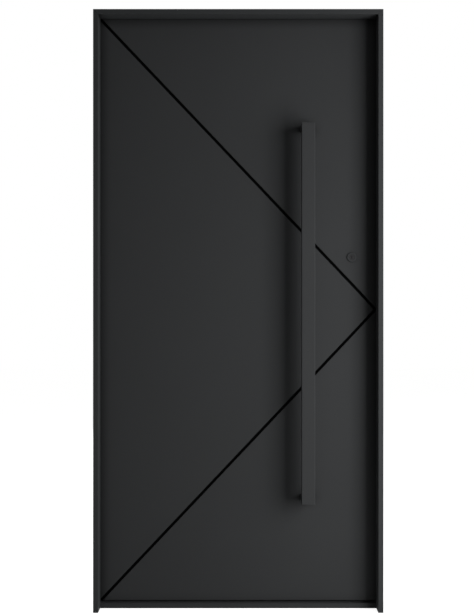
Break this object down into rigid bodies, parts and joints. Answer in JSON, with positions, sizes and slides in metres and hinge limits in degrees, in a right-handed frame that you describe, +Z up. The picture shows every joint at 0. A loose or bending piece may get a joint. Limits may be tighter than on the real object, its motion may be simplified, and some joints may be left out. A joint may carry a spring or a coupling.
{
  "type": "aluminium front door with frame",
  "caption": "Flush aluminium entrance door leaf with a V-shaped groove and a long pull bar, hinged in a slim frame over a low threshold.",
  "frame": {"origin": "middle of the threshold's underside at floor level, half way along and half way through the threshold", "axes": "+X to the right seen from outside, +Y into the house, +Z up"},
  "size_m": [1.01, 0.2125, 2.1],
  "materials": {
    "paint": "matt anthracite powder coat on aluminium",
    "panel_paint": "matt anthracite powder coat on aluminium sheet",
    "pull_paint": "satin anthracite powder coat",
    "groove_black": "matt black",
    "seal_rubber": "matt black rubber",
    "break_plastic": "black insulating plastic",
    "foam": "rigid insulating foam, hidden",
    "steel": "brushed stainless steel",
    "rosette": "dark satin coat",
    "cylinder_metal": "black nickel-plated"
  },
  "bodies": {
    "frame": {"jamb_hinge_outer": "paint", "jamb_lock_outer": "paint", "head_outer": "paint", "jamb_hinge_inner": "paint", "jamb_lock_inner": "paint", "head_inner": "paint", "seal_hinge_jamb": "seal_rubber", "seal_lock_jamb": "seal_rubber", "seal_head": "seal_rubber", "threshold_outer": "paint", "threshold_break": "break_plastic", "threshold_inner": "paint", "strike_plate": "steel", "hinge_frame_lower": "steel", "hinge_frame_middle": "steel", "hinge_frame_upper": "steel"},
    "leaf": {"leaf_stile_hinge": "paint", "leaf_stile_lock": "paint", "leaf_rail_top": "paint", "leaf_rail_bottom": "paint", "leaf_core": "foam", "panel_left": "panel_paint", "panel_upper": "panel_paint", "panel_lower": "panel_paint", "groove_channel_upper": "groove_black", "groove_channel_lower": "groove_black", "panel_inside": "panel_paint", "drop_seal": "seal_rubber", "hinge_leaf_lower": "steel", "hinge_leaf_middle": "steel", "hinge_leaf_upper": "steel", "pull_bar": "pull_paint", "pull_bar_cap_top": "pull_paint", "pull_bar_cap_bottom": "pull_paint", "pull_standoff_top": "pull_paint", "pull_standoff_bottom": "pull_paint", "lock_rosette_outside": "rosette", "lock_rosette_inside": "rosette", "lock_cylinder": "cylinder_metal", "lock_plug": "cylinder_metal", "lock_faceplate": "steel", "latch_bolt": "steel", "dead_bolt": "steel", "lever_rosette": "steel", "lever_handle": "steel"}
  },
  "joints": [
    {"name": "leaf_hinge", "type": "hinge", "parent": "frame", "child": "leaf", "pos_m": [-0.49525, 0.053, 1.0555], "axis": [0, 0, 1], "range_deg": [0, 105]}
  ]
}
